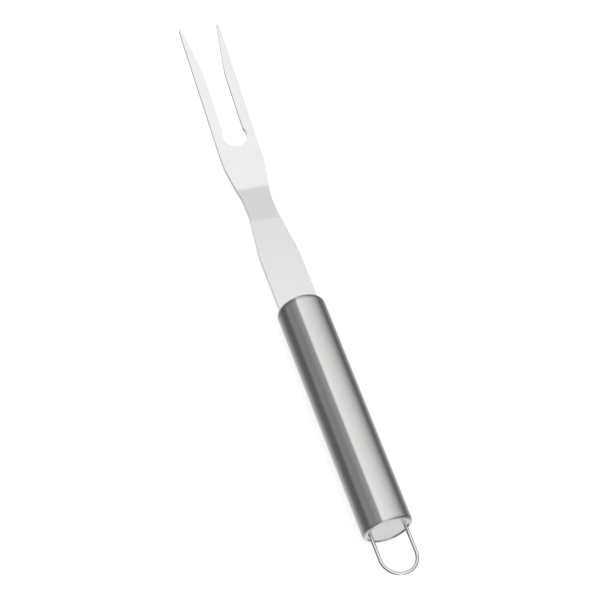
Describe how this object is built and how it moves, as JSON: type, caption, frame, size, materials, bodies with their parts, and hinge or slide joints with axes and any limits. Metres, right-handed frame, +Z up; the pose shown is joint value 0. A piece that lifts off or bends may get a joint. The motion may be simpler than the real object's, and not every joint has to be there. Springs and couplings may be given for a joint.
{
  "type": "barbecue fork",
  "caption": "Barbecue fork with a stamped, bent blade, a keyhole at the root of its prongs, a hollow round handle and a wire hanging loop.",
  "frame": {"origin": "middle of the fork's length and width, on the surface that the handle lies on", "axes": "+X along the handle's axis toward the points, +Z up from the surface, on the side that the prongs bend toward"},
  "size_m": [0.365, 0.028, 0.0297],
  "materials": {
    "polished_steel": "polished stainless steel sheet",
    "ferrule_steel": "satin stainless steel",
    "satin_steel": "satin stainless steel, brushed along the tube",
    "spun_steel": "stainless steel with fine turning rings",
    "wire_steel": "polished stainless steel wire"
  },
  "bodies": {
    "root": {"fork_blade": "polished_steel", "front_cap": "ferrule_steel", "handle_tube": "satin_steel", "end_cap": "spun_steel", "hanging_loop": "wire_steel"}
  },
  "joints": []
}
